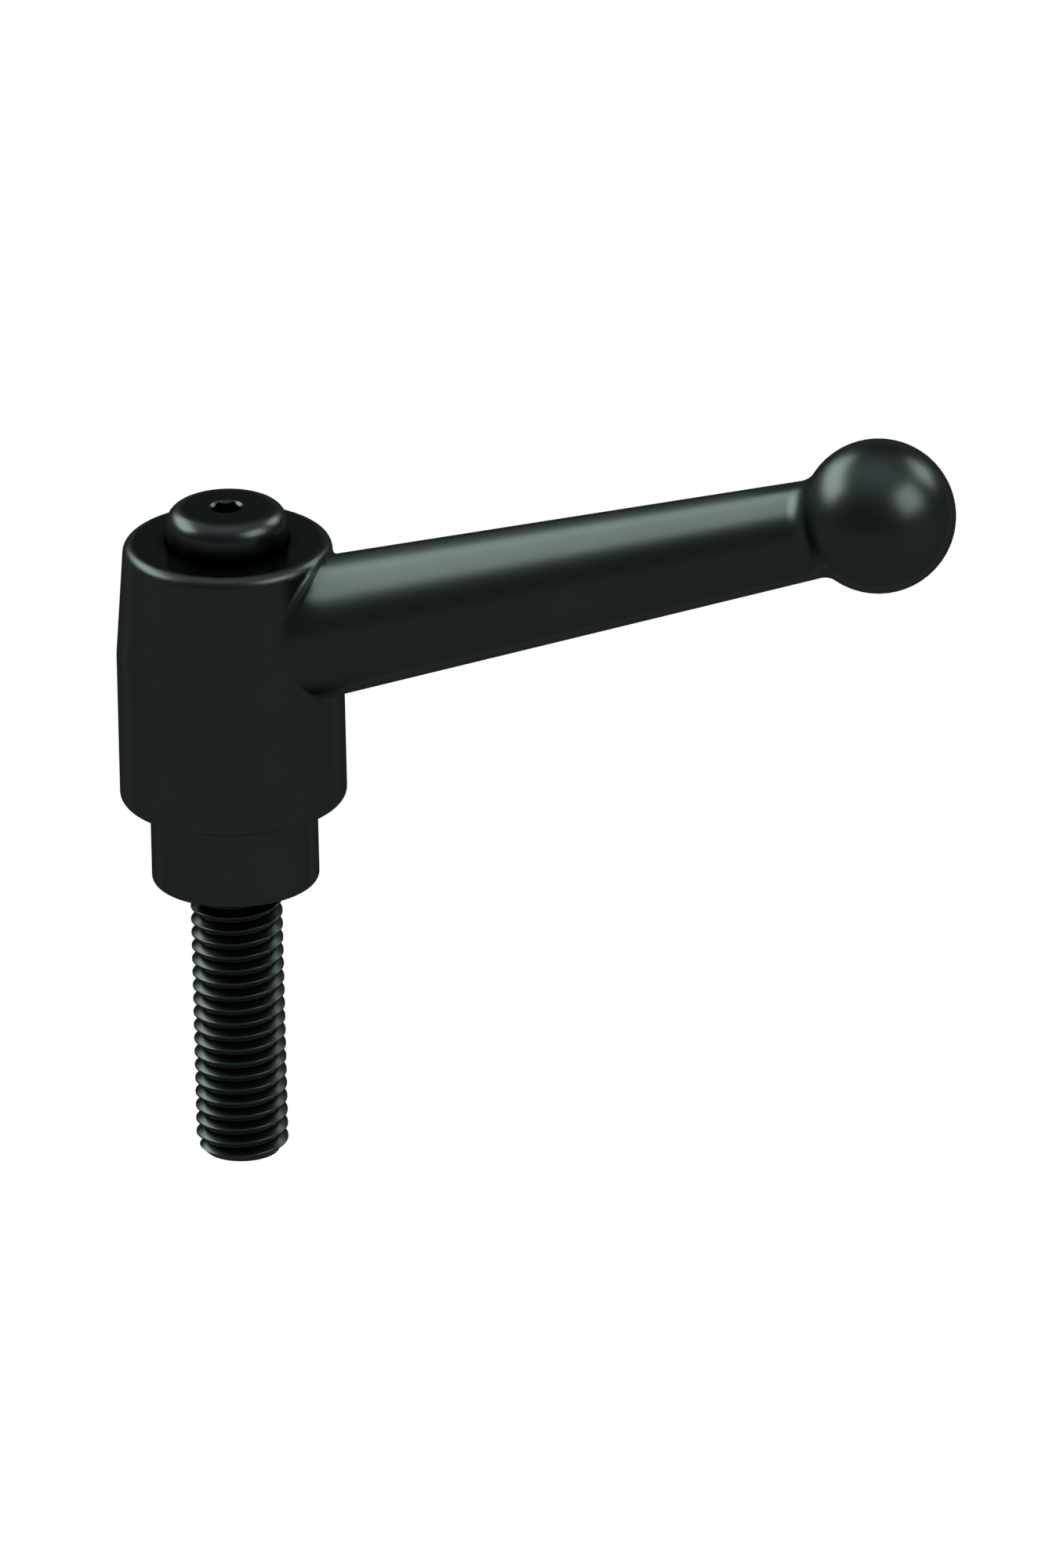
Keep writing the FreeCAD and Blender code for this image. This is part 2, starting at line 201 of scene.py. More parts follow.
class ShankSizes(bpy.types.PropertyGroup):
    """Turned and grooved shank of the insert."""

    edge_round: bpy.props.FloatProperty(
        name="Edge round", description="Rounding of the lower edge", default=0.5 * MM, unit="LENGTH")
    top_bevel: bpy.props.FloatProperty(
        name="Top bevel", description="Bevel of the upper edge", default=0.3 * MM, unit="LENGTH")
    groove_count: bpy.props.IntProperty(
        name="Grooves", description="Grooves round the upper end", default=24, min=3)
    groove_depth: bpy.props.FloatProperty(
        name="Groove depth", description="Depth of a groove", default=0.6 * MM, unit="LENGTH")
    groove_mouth: bpy.props.FloatProperty(
        name="Groove mouth", description="Width of a groove at the surface", default=1.0 * MM, unit="LENGTH")
    groove_bottom: bpy.props.FloatProperty(
        name="Groove bottom", description="Width of a groove at its bottom", default=0.4 * MM, unit="LENGTH")
    groove_length: bpy.props.FloatProperty(
        name="Groove length", description="Groove from the upper end down", default=3.6 * MM, unit="LENGTH")
    hole_diameter: bpy.props.FloatProperty(
        name="Hole", description="Tapped hole for the screw", default=4.04 * MM, unit="LENGTH")
    hole_depth: bpy.props.FloatProperty(
        name="Hole depth", description="Hole down to its point", default=12.0 * MM, unit="LENGTH")


class SpringSizes(bpy.types.PropertyGroup):
    """Coil spring between the screw's head and the hub's floor."""

    wire: bpy.props.FloatProperty(
        name="Wire", description="Wire diameter", default=0.8 * MM, unit="LENGTH")
    coil: bpy.props.FloatProperty(
        name="Coil", description="Coil diameter over the wire's centre", default=8.4 * MM, unit="LENGTH")
    open_turns: bpy.props.FloatProperty(
        name="Open turns", description="Turns between the two closed ones", default=2.0)
    end_gap: bpy.props.FloatProperty(
        name="End gap", description="Gap beside a closed turn", default=0.06 * MM, unit="LENGTH")


class FinishColours(bpy.types.PropertyGroup):
    """Colours and gloss of the finishes."""

    coat: bpy.props.FloatVectorProperty(
        name="Coat", description="Black coat of the casting", default=(0.0127, 0.0162, 0.0155),
        size=3, subtype="COLOR", min=0.0, max=1.0)
    coat_roughness: bpy.props.FloatProperty(
        name="Coat roughness", description="Blur of the coat's reflections", default=0.33,
        subtype="FACTOR", min=0.0, max=1.0)
    face_roughness: bpy.props.FloatProperty(
        name="Face roughness", description="Blur of the reflections in level turned faces", default=0.23,
        subtype="FACTOR", min=0.0, max=1.0)
    oxide: bpy.props.FloatVectorProperty(
        name="Oxide", description="Black oxide of the turned parts", default=(0.0127, 0.0162, 0.0155),
        size=3, subtype="COLOR", min=0.0, max=1.0)
    oxide_roughness: bpy.props.FloatProperty(
        name="Oxide roughness", description="Blur of the oxide's reflections", default=0.30,
        subtype="FACTOR", min=0.0, max=1.0)
    # Painted shade: within this reach, ambient occlusion paints recesses black in the finish's colour.
    painted_shade_reach: bpy.props.FloatProperty(
        name="Recess reach", description="Depth at which a recess loses its gloss", default=3.0 * MM,
        unit="LENGTH")
    wire: bpy.props.FloatVectorProperty(
        name="Wire", description="Bare spring wire", default=(0.42, 0.42, 0.41),
        size=3, subtype="COLOR", min=0.0, max=1.0)


class StudioSettings(bpy.types.PropertyGroup):
    """Camera, floor, background and lamps."""

    side: bpy.props.FloatProperty(
        name="Side", description="Camera's direction round the object", default=math.radians(23.0),
        subtype="ANGLE")
    rise: bpy.props.FloatProperty(
        name="Rise", description="Camera's height above the horizon", default=math.radians(22.6),
        subtype="ANGLE")
    roll: bpy.props.FloatProperty(
        name="Roll", description="Turn of the camera about its line of sight", default=math.radians(1.484),
        subtype="ANGLE")
    picture_height: bpy.props.FloatProperty(
        name="Picture height", description="Height of the picture at the object",
        default=PICTURE_PIXELS / PIXELS_PER_MM * MM, unit="LENGTH")
    picture_right: bpy.props.FloatProperty(
        name="Picture right", description="Picture's middle, to the right of the origin",
        default=25.157 * MM, unit="LENGTH")
    picture_up: bpy.props.FloatProperty(
        name="Picture up", description="Picture's middle, above the origin",
        default=7.44 * MM, unit="LENGTH")
    floor_drop: bpy.props.FloatProperty(
        name="Floor drop", description="Floor below the origin", default=0.2, unit="LENGTH")
    floor_colour: bpy.props.FloatVectorProperty(
        name="Floor", description="Floor's colour", default=(0.8, 0.8, 0.8),
        size=3, subtype="COLOR", min=0.0, max=1.0)
    floor_glow: bpy.props.FloatProperty(
        name="Floor glow", description="Share of plain white in what the camera sees of the floor",
        default=0.98, subtype="FACTOR", min=0.0, max=1.0)
    sky_colour: bpy.props.FloatVectorProperty(
        name="Sky", description="Colour of the background", default=(0.90, 0.93, 1.0),
        size=3, subtype="COLOR", min=0.0, max=1.0)
    sky_high: bpy.props.FloatProperty(
        name="Sky overhead", description="Brightness of the background overhead", default=3.4, min=0.0)
    sky_low: bpy.props.FloatProperty(
        name="Sky at the horizon", description="Brightness of the background at the horizon",
        default=0.48, min=0.0)
    lamp_distance: bpy.props.FloatProperty(
        name="Lamp distance", description="Soft boxes from the object", default=2.0, unit="LENGTH")
    lamp_share: bpy.props.FloatProperty(
        name="Lamp share", description="Light of a soft box as a share of its brightness in the gloss",
        default=0.05, subtype="FACTOR", min=0.0, max=1.0)


# Node helpers

def add_node(tree, kind, **settings):
    """Add a node to a tree and set its plain properties."""
    node = tree.nodes.new(kind)
    for name, value in settings.items():
        setattr(node, name, value)
    return node


def feed(tree, socket, source):
    """Give a socket a value, or a link where the source is another socket."""
    if isinstance(source, bpy.types.NodeSocket):
        tree.links.new(source, socket)
    else:
        socket.default_value = source


def calculate(tree, operation, *values, clamp=False):
    """A Math node's result."""
    node = add_node(tree, "ShaderNodeMath", operation=operation, use_clamp=clamp)
    for socket, value in zip(node.inputs, values):
        feed(tree, socket, value)
    return node.outputs[0]


def add_input(tree, name, kind, default=None):
    """A named input on a tree's interface."""
    socket = tree.interface.new_socket(name, in_out="INPUT", socket_type=kind)
    if default is not None:
        socket.default_value = default
    return socket


def run_nodes(name, tree, settings):
    """Run a geometry tree with its named inputs and return the plain mesh it makes."""
    piece = bpy.data.objects.new(name, bpy.data.meshes.new(name + "_start"))
    bpy.context.scene.collection.objects.link(piece)
    modifier = piece.modifiers.new("shape", "NODES")
    modifier.node_group = tree
    for item in tree.interface.items_tree:
        if item.item_type == "SOCKET" and item.in_out == "INPUT" and item.name in settings:
            modifier[item.identifier] = settings[item.name]
    graph = bpy.context.evaluated_depsgraph_get()
    graph.update()
    made = bpy.data.meshes.new_from_object(piece.evaluated_get(graph))
    piece.modifiers.remove(modifier)
    piece.data = made
    made.name = name
    return piece


def face_outwards(mesh, sharp_angle):
    """Weld a mesh, turn its faces outwards and keep only edges past an angle sharp."""
    work = bmesh.new()
    work.from_mesh(mesh)
    bmesh.ops.remove_doubles(work, verts=work.verts, dist=WELD)
    bmesh.ops.dissolve_degenerate(work, edges=work.edges, dist=EMPTY_EDGE)
    bmesh.ops.recalc_face_normals(work, faces=work.faces)
    for face in work.faces:
        face.smooth = True
    work.to_mesh(mesh)
    work.free()
    mesh.set_sharp_from_angle(angle=sharp_angle)


# Finishes

def grain_group():
    """Fine grain of a coat or an oxide layer: a mask of slow changes and a height of small bumps."""
    tree = bpy.data.node_groups.get("fine_grain")
    if tree:
        return tree
    tree = bpy.data.node_groups.new("fine_grain", "ShaderNodeTree")
    add_input(tree, "Grain Scale", "NodeSocketFloat", WIRE_GRAIN)
    add_input(tree, "Patch Scale", "NodeSocketFloat", PATCH_SCALE)
    tree.interface.new_socket("Patches", in_out="OUTPUT", socket_type="NodeSocketFloat")
    tree.interface.new_socket("Grain", in_out="OUTPUT", socket_type="NodeSocketFloat")
    inlet = add_node(tree, "NodeGroupInput")
    outlet = add_node(tree, "NodeGroupOutput")
    place = add_node(tree, "ShaderNodeTexCoord")
    patches = add_node(tree, "ShaderNodeTexNoise", noise_dimensions="3D")
    feed(tree, patches.inputs["Vector"], place.outputs["Object"])
    feed(tree, patches.inputs["Scale"], inlet.outputs["Patch Scale"])
    feed(tree, patches.inputs["Detail"], 3.0)
    grain = add_node(tree, "ShaderNodeTexNoise", noise_dimensions="3D")
    feed(tree, grain.inputs["Vector"], place.outputs["Object"])
    feed(tree, grain.inputs["Scale"], inlet.outputs["Grain Scale"])
    feed(tree, grain.inputs["Detail"], 2.0)
    feed(tree, outlet.inputs["Patches"], patches.outputs["Fac"])
    feed(tree, outlet.inputs["Grain"], grain.outputs["Fac"])
    return tree


def turning_group():
    """Marks that a turning tool leaves round the Z axis, as a height."""
    tree = bpy.data.node_groups.get("turning_marks")
    if tree:
        return tree
    tree = bpy.data.node_groups.new("turning_marks", "ShaderNodeTree")
    add_input(tree, "Marks per Metre", "NodeSocketFloat", TURNING_MARKS)
    tree.interface.new_socket("Marks", in_out="OUTPUT", socket_type="NodeSocketFloat")
    inlet = add_node(tree, "NodeGroupInput")
    outlet = add_node(tree, "NodeGroupOutput")
    place = add_node(tree, "ShaderNodeTexCoord")
    split = add_node(tree, "ShaderNodeSeparateXYZ")
    feed(tree, split.inputs[0], place.outputs["Object"])
    across = calculate(tree, "POWER", calculate(tree, "ADD",
                       calculate(tree, "POWER", split.outputs["X"], 2.0),
                       calculate(tree, "POWER", split.outputs["Y"], 2.0)), 0.5)
    along = calculate(tree, "ADD", across, split.outputs["Z"])
    marks = add_node(tree, "ShaderNodeTexNoise", noise_dimensions="1D")
    feed(tree, marks.inputs["W"], along)
    feed(tree, marks.inputs["Scale"], inlet.outputs["Marks per Metre"])
    feed(tree, marks.inputs["Detail"], 1.0)
    feed(tree, outlet.inputs["Marks"], marks.outputs["Fac"])
    return tree


def patchy_colour(tree, texture, colour, shares):
    """A colour that changes slowly between two shares of itself."""
    tone = add_node(tree, "ShaderNodeMix", data_type="RGBA")
    feed(tree, tone.inputs["Factor"], texture.outputs["Patches"])
    for side, share in zip("AB", shares):
        tone.inputs[side].default_value = (*[channel * share for channel in colour], 1.0)
    return tone.outputs["Result"]


def black_finish(name, colour, roughness, reach, painted_shade_span, grain, marks=None):
    """Black finish of even gloss, with painted shade darkening its colour to black in recesses, with a fine
    grain, turned where marks is set.
    """
    material = bpy.data.materials.new(name)
    material.use_nodes = True
    tree = material.node_tree
    shader = tree.nodes["Principled BSDF"]
    shader.inputs["Roughness"].default_value = roughness
    shader.inputs["Specular IOR Level"].default_value = 0.0
    shader.inputs["Specular Tint"].default_value = (*EDGE_TINT, 1.0)
    texture = add_node(tree, "ShaderNodeGroup", node_tree=grain_group())
    texture.inputs["Grain Scale"].default_value = grain[0]
    tone = patchy_colour(tree, texture, colour, PATCHES)
    # Painted shade: ambient occlusion darkens the colour, and with it the gloss, to black in recesses,
    # creases and gaps between parts.
    openness = add_node(tree, "ShaderNodeAmbientOcclusion", samples=PAINTED_SHADE_SAMPLES)
    openness.inputs["Distance"].default_value = reach
    shown = add_node(tree, "ShaderNodeMapRange", interpolation_type="SMOOTHSTEP")
    feed(tree, shown.inputs["Value"], openness.outputs["AO"])
    shown.inputs["From Min"].default_value = painted_shade_span[0]
    shown.inputs["From Max"].default_value = painted_shade_span[1]
    painted_shade_tone = add_node(tree, "ShaderNodeMix", data_type="RGBA")
    feed(tree, painted_shade_tone.inputs["Factor"], shown.outputs["Result"])
    painted_shade_tone.inputs["A"].default_value = (0.0, 0.0, 0.0, 1.0)
    feed(tree, painted_shade_tone.inputs["B"], tone)
    feed(tree, shader.inputs["Base Color"], painted_shade_tone.outputs["Result"])
    height = texture.outputs["Grain"]
    if marks:
        turned = add_node(tree, "ShaderNodeGroup", node_tree=turning_group())
        turned.inputs["Marks per Metre"].default_value = marks
        height = calculate(tree, "ADD", height, turned.outputs["Marks"])
    bump = add_node(tree, "ShaderNodeBump")
    bump.inputs["Strength"].default_value = 1.0
    bump.inputs["Distance"].default_value = grain[1]
    feed(tree, bump.inputs["Height"], height)
    feed(tree, shader.inputs["Normal"], bump.outputs["Normal"])
    feed(tree, shader.inputs["Metallic"], even_gloss(tree, colour[1], bump.outputs["Normal"]))
    return material


def even_gloss(tree, gloss, normal):
    """Metallic value that keeps the share of light reflected about the same to the silhouettes."""
    slope = add_node(tree, "ShaderNodeLayerWeight")
    feed(tree, slope.inputs["Normal"], normal)
    away = slope.outputs["Facing"]
    fifth = calculate(tree, "POWER", away, 5.0)
    rise = calculate(tree, "MULTIPLY", fifth, 1.0 - gloss)
    tinted = (gloss + (1.0 - gloss) * EDGE_SLOPE ** 5) * (1.0 - EDGE_TINT[1])
    dip_scale = tinted / ((1.0 - EDGE_SLOPE) * EDGE_SLOPE ** 6)
    towards = calculate(tree, "SUBTRACT", 1.0, away)
    dip = calculate(tree, "MULTIPLY", calculate(tree, "MULTIPLY", fifth, away), towards)
    reflected = calculate(tree, "SUBTRACT", calculate(tree, "ADD", rise, gloss),
                          calculate(tree, "MULTIPLY", dip, dip_scale))
    return calculate(tree, "DIVIDE", gloss * (1.0 - SCATTERED),
                     calculate(tree, "SUBTRACT", reflected, gloss * SCATTERED), clamp=True)


def smooth_level_faces(material, rough, smooth):
    """Give the turned faces on top of the hub and the screw a sharper reflection than the rest."""
    tree = material.node_tree
    place = add_node(tree, "ShaderNodeTexCoord")
    facing = add_node(tree, "ShaderNodeSeparateXYZ")
    feed(tree, facing.inputs[0], place.outputs["Normal"])
    flat = calculate(tree, "GREATER_THAN", facing.outputs["Z"], FLAT_FACE)
    level = add_node(tree, "ShaderNodeVectorMath", operation="MULTIPLY")
    feed(tree, level.inputs[0], place.outputs["Object"])
    level.inputs[1].default_value = (1.0, 1.0, 0.0)
    reach = add_node(tree, "ShaderNodeVectorMath", operation="LENGTH")
    feed(tree, reach.inputs[0], level.outputs[0])
    on_hub = calculate(tree, "LESS_THAN", reach.outputs["Value"], HUB_RADIUS)
    choice = calculate(tree, "MULTIPLY", flat, on_hub)
    blur = calculate(tree, "MULTIPLY_ADD", choice, smooth - rough, rough)
    feed(tree, tree.nodes["Principled BSDF"].inputs["Roughness"], blur)


def wire_finish(name, colour):
    """Bare drawn wire, a little darker and rougher in patches."""
    material = bpy.data.materials.new(name)
    material.use_nodes = True
    tree = material.node_tree
    shader = tree.nodes["Principled BSDF"]
    shader.inputs["Metallic"].default_value = 1.0
    texture = add_node(tree, "ShaderNodeGroup", node_tree=grain_group())
    texture.inputs["Grain Scale"].default_value = WIRE_GRAIN
    feed(tree, shader.inputs["Base Color"], patchy_colour(tree, texture, colour, WIRE_PATCHES))
    gloss = add_node(tree, "ShaderNodeMapRange")
    feed(tree, gloss.inputs["Value"], texture.outputs["Grain"])
    gloss.inputs["To Min"].default_value = WIRE_GLOSS[0]
    gloss.inputs["To Max"].default_value = WIRE_GLOSS[1]
    feed(tree, shader.inputs["Roughness"], gloss.outputs["Result"])
    return material


def put_on(piece, material):
    """Make a material the only one of a piece."""
    piece.data.materials.clear()
    piece.data.materials.append(material)


# Casting

def neck_outline(sizes):
    """Where the neck's rounding starts and ends along the arm, and its centre along and off the axis."""
    ball = sizes.ball_diameter / 2
    taper = (sizes.root_diameter - sizes.end_diameter) / 2 / sizes.arm_length
    slant = math.hypot(taper, 1.0)
    raised = sizes.end_diameter / 2 + sizes.neck_round * slant
    reach = ball + sizes.neck_round
    before = (math.sqrt((reach * slant) ** 2 - raised ** 2) - raised * taper) / slant ** 2
    centre = sizes.arm_length - before
    start = centre - sizes.neck_round * taper / slant
    end = sizes.arm_length - before * ball / reach
    return start, end, centre, raised + taper * before


def round_neck(work, own, sizes):
    """Cut the neck into rings and bring them out to its full rounding, with the normals to match."""
    start, end, centre, off_axis = neck_outline(sizes)
    along = Vector((math.cos(sizes.arm_rise), 0.0, math.sin(sizes.arm_rise)))
    foot = Vector((0.0, 0.0, sizes.arm_height))
    for ring in range(NECK_RINGS + 1):
        place = foot + along * (start + (end - start) * ring / NECK_RINGS)
        bmesh.ops.bisect_plane(work, geom=work.verts[:] + work.edges[:] + work.faces[:], dist=RING_REACH,
                               plane_co=place, plane_no=along)
    bmesh.ops.triangulate(work, faces=[face for face in work.faces if len(face.verts) > 3])
    for vertex in work.verts:
        offset = vertex.co - foot
        distance = offset.dot(along)
        if not start - RING_REACH < distance < end + RING_REACH:
            continue
        outwards = (offset - along * distance).normalized()
        depth = math.sqrt(sizes.neck_round ** 2 - (distance - centre) ** 2)
        vertex.co = foot + along * distance + outwards * (off_axis - depth)
        for loop in vertex.link_loops:
            loop[own] = (along * (centre - distance) + outwards * depth).normalized()


def casting_mesh(source, sizes):
    """Closed copy of the casting without its empty faces, shaded by the surface's own normals."""
    spoiled = [source.vertices[index].co.copy()
               for face in source.polygons if face.area < EMPTY_FACE for index in face.vertices]
    work = bmesh.new()
    work.from_mesh(source)
    own = work.loops.layers.float_vector.new("surface_normal")
    for face, original in zip(work.faces, source.polygons):
        for loop, index in zip(face.loops, original.loop_indices):
            loop[own] = source.corner_normals[index].vector
    bmesh.ops.remove_doubles(work, verts=work.verts, dist=WELD)
    bmesh.ops.dissolve_degenerate(work, edges=work.edges, dist=EMPTY_EDGE)
    work.normal_update()
    for vertex in work.verts:
        if any((vertex.co - point).length < SAME_POINT for point in spoiled):
            for loop in vertex.link_loops:
                loop[own] = vertex.normal
    round_neck(work, own, sizes)
    for face in work.faces:
        face.smooth = True
    mesh = bpy.data.meshes.new("lever_casting")
    work.to_mesh(mesh)
    work.free()
    shaded = mesh.attributes["surface_normal"]
    normals = [tuple(corner.vector) for corner in shaded.data]
    mesh.attributes.remove(shaded)
    mesh.normals_split_custom_set(normals)
    return mesh


# Thread of the stud

def thread_tree():
    """A closed threaded rod round the Z axis, its ends brought down to a smaller circle."""
    tree = bpy.data.node_groups.new("stud_thread", "GeometryNodeTree")
    for name in ("Pitch", "Crest Radius", "Depth", "Crest Share", "Root Share", "Edge Share",
                 "Start", "Foot", "Head", "End Radius"):
        add_input(tree, name, "NodeSocketFloat")
    add_input(tree, "Segments", "NodeSocketInt", THREAD_SEGMENTS)
    add_input(tree, "Material", "NodeSocketMaterial")
    tree.interface.new_socket("Geometry", in_out="OUTPUT", socket_type="NodeSocketGeometry")
    inlet = add_node(tree, "NodeGroupInput").outputs
    outlet = add_node(tree, "NodeGroupOutput")
    calc = partial(calculate, tree)

    length = calc("SUBTRACT", inlet["Head"], inlet["Foot"])
    turns = calc("ADD", calc("CEIL", calc("DIVIDE", length, inlet["Pitch"])), 3.0)
    rows = calc("MULTIPLY", turns, float(THREAD_ROWS))
    grid = add_node(tree, "GeometryNodeMeshGrid")
    feed(tree, grid.inputs["Size X"], inlet["Segments"])
    feed(tree, grid.inputs["Size Y"], rows)
    feed(tree, grid.inputs["Vertices X"], calc("ADD", inlet["Segments"], 1.0))
    feed(tree, grid.inputs["Vertices Y"], calc("ADD", rows, 1.0))
    place = add_node(tree, "ShaderNodeSeparateXYZ")
    feed(tree, place.inputs[0], add_node(tree, "GeometryNodeInputPosition").outputs[0])
    column = calc("ROUND", calc("ADD", place.outputs["X"], calc("MULTIPLY", inlet["Segments"], 0.5)))
    row = calc("ROUND", calc("ADD", place.outputs["Y"], calc("MULTIPLY", rows, 0.5)))
    turn = calc("FLOOR", calc("DIVIDE", calc("ADD", row, 0.5), float(THREAD_ROWS)))
    step = calc("SUBTRACT", row, calc("MULTIPLY", turn, float(THREAD_ROWS)))

    half_crest = calc("MULTIPLY", inlet["Crest Share"], 0.5)
    flank = calc("MULTIPLY", calc("SUBTRACT", calc("SUBTRACT", 1.0, inlet["Crest Share"]),
                                  inlet["Root Share"]), 0.5)
    root_start = calc("ADD", half_crest, flank)
    root_end = calc("SUBTRACT", 1.0, root_start)
    crest_end = calc("SUBTRACT", 1.0, half_crest)
    edge = inlet["Edge Share"]
    places = (
        calc("SUBTRACT", edge, half_crest),
        calc("SUBTRACT", half_crest, edge),
        calc("ADD", half_crest, edge),
        calc("SUBTRACT", root_start, edge),
        calc("ADD", root_start, edge),
        calc("SUBTRACT", root_end, edge),
        calc("ADD", root_end, edge),
        calc("SUBTRACT", crest_end, edge),
    )
    choice = add_node(tree, "GeometryNodeIndexSwitch", data_type="FLOAT")
    while len(choice.index_switch_items) < len(places):
        choice.index_switch_items.new()
    feed(tree, choice.inputs["Index"], step)
    for socket, source in zip(choice.inputs[1:], places):
        feed(tree, socket, source)
    share = choice.outputs[0]

    from_crest = calc("ABSOLUTE", calc("SUBTRACT", share, calc("ROUND", share)))
    fallen = calc("DIVIDE", calc("SUBTRACT", from_crest, half_crest), flank, clamp=True)
    thread_radius = calc("SUBTRACT", inlet["Crest Radius"], calc("MULTIPLY", inlet["Depth"], fallen))
    around = calc("DIVIDE", column, inlet["Segments"])
    first = calc("SUBTRACT", calc("FLOOR", calc("DIVIDE",
                 calc("SUBTRACT", inlet["Foot"], inlet["Start"]), inlet["Pitch"])), 1.0)
    rise = calc("ADD", calc("ADD", first, turn), calc("ADD", share, around))
    height = calc("ADD", inlet["Start"], calc("MULTIPLY", inlet["Pitch"], rise))
    height = calc("MINIMUM", calc("MAXIMUM", height, inlet["Foot"]), inlet["Head"])
    lower_cone = calc("ADD", inlet["End Radius"], calc("SUBTRACT", height, inlet["Foot"]))
    upper_cone = calc("ADD", inlet["End Radius"], calc("SUBTRACT", inlet["Head"], height))
    radius = calc("MINIMUM", thread_radius, calc("MINIMUM", lower_cone, upper_cone))
    angle = calc("MULTIPLY", around, math.tau)
    point = add_node(tree, "ShaderNodeCombineXYZ")
    feed(tree, point.inputs["X"], calc("MULTIPLY", radius, calc("COSINE", angle)))
    feed(tree, point.inputs["Y"], calc("MULTIPLY", radius, calc("SINE", angle)))
    feed(tree, point.inputs["Z"], height)
    wound = add_node(tree, "GeometryNodeSetPosition")
    feed(tree, wound.inputs["Geometry"], grid.outputs["Mesh"])
    feed(tree, wound.inputs["Position"], point.outputs[0])

    joined = add_node(tree, "GeometryNodeJoinGeometry")
    tree.links.new(wound.outputs["Geometry"], joined.inputs[0])
    for end in ("Foot", "Head"):
        disc = add_node(tree, "GeometryNodeMeshCircle", fill_type="NGON")
        feed(tree, disc.inputs["Vertices"], inlet["Segments"])
        feed(tree, disc.inputs["Radius"], inlet["End Radius"])
        moved = add_node(tree, "GeometryNodeTransform")
        lift = add_node(tree, "ShaderNodeCombineXYZ")
        feed(tree, lift.inputs["Z"], inlet[end])
        feed(tree, moved.inputs["Geometry"], disc.outputs["Mesh"])
        feed(tree, moved.inputs["Translation"], lift.outputs[0])
        tree.links.new(moved.outputs["Geometry"], joined.inputs[0])
    welded = add_node(tree, "GeometryNodeMergeByDistance")
    feed(tree, welded.inputs["Geometry"], joined.outputs[0])
    feed(tree, welded.inputs["Distance"], SAME_POINT)
    finish_tree(tree, welded.outputs["Geometry"], inlet["Material"], outlet)
    return tree


def finish_tree(tree, geometry, material, outlet):
    """End a geometry tree with real instances and one material."""
    real = add_node(tree, "GeometryNodeRealizeInstances")
    feed(tree, real.inputs["Geometry"], geometry)
    dressed = add_node(tree, "GeometryNodeSetMaterial")
    feed(tree, dressed.inputs["Geometry"], real.outputs["Geometry"])
    feed(tree, dressed.inputs["Material"], material)
    feed(tree, outlet.inputs["Geometry"], dressed.outputs["Geometry"])


# Coil spring

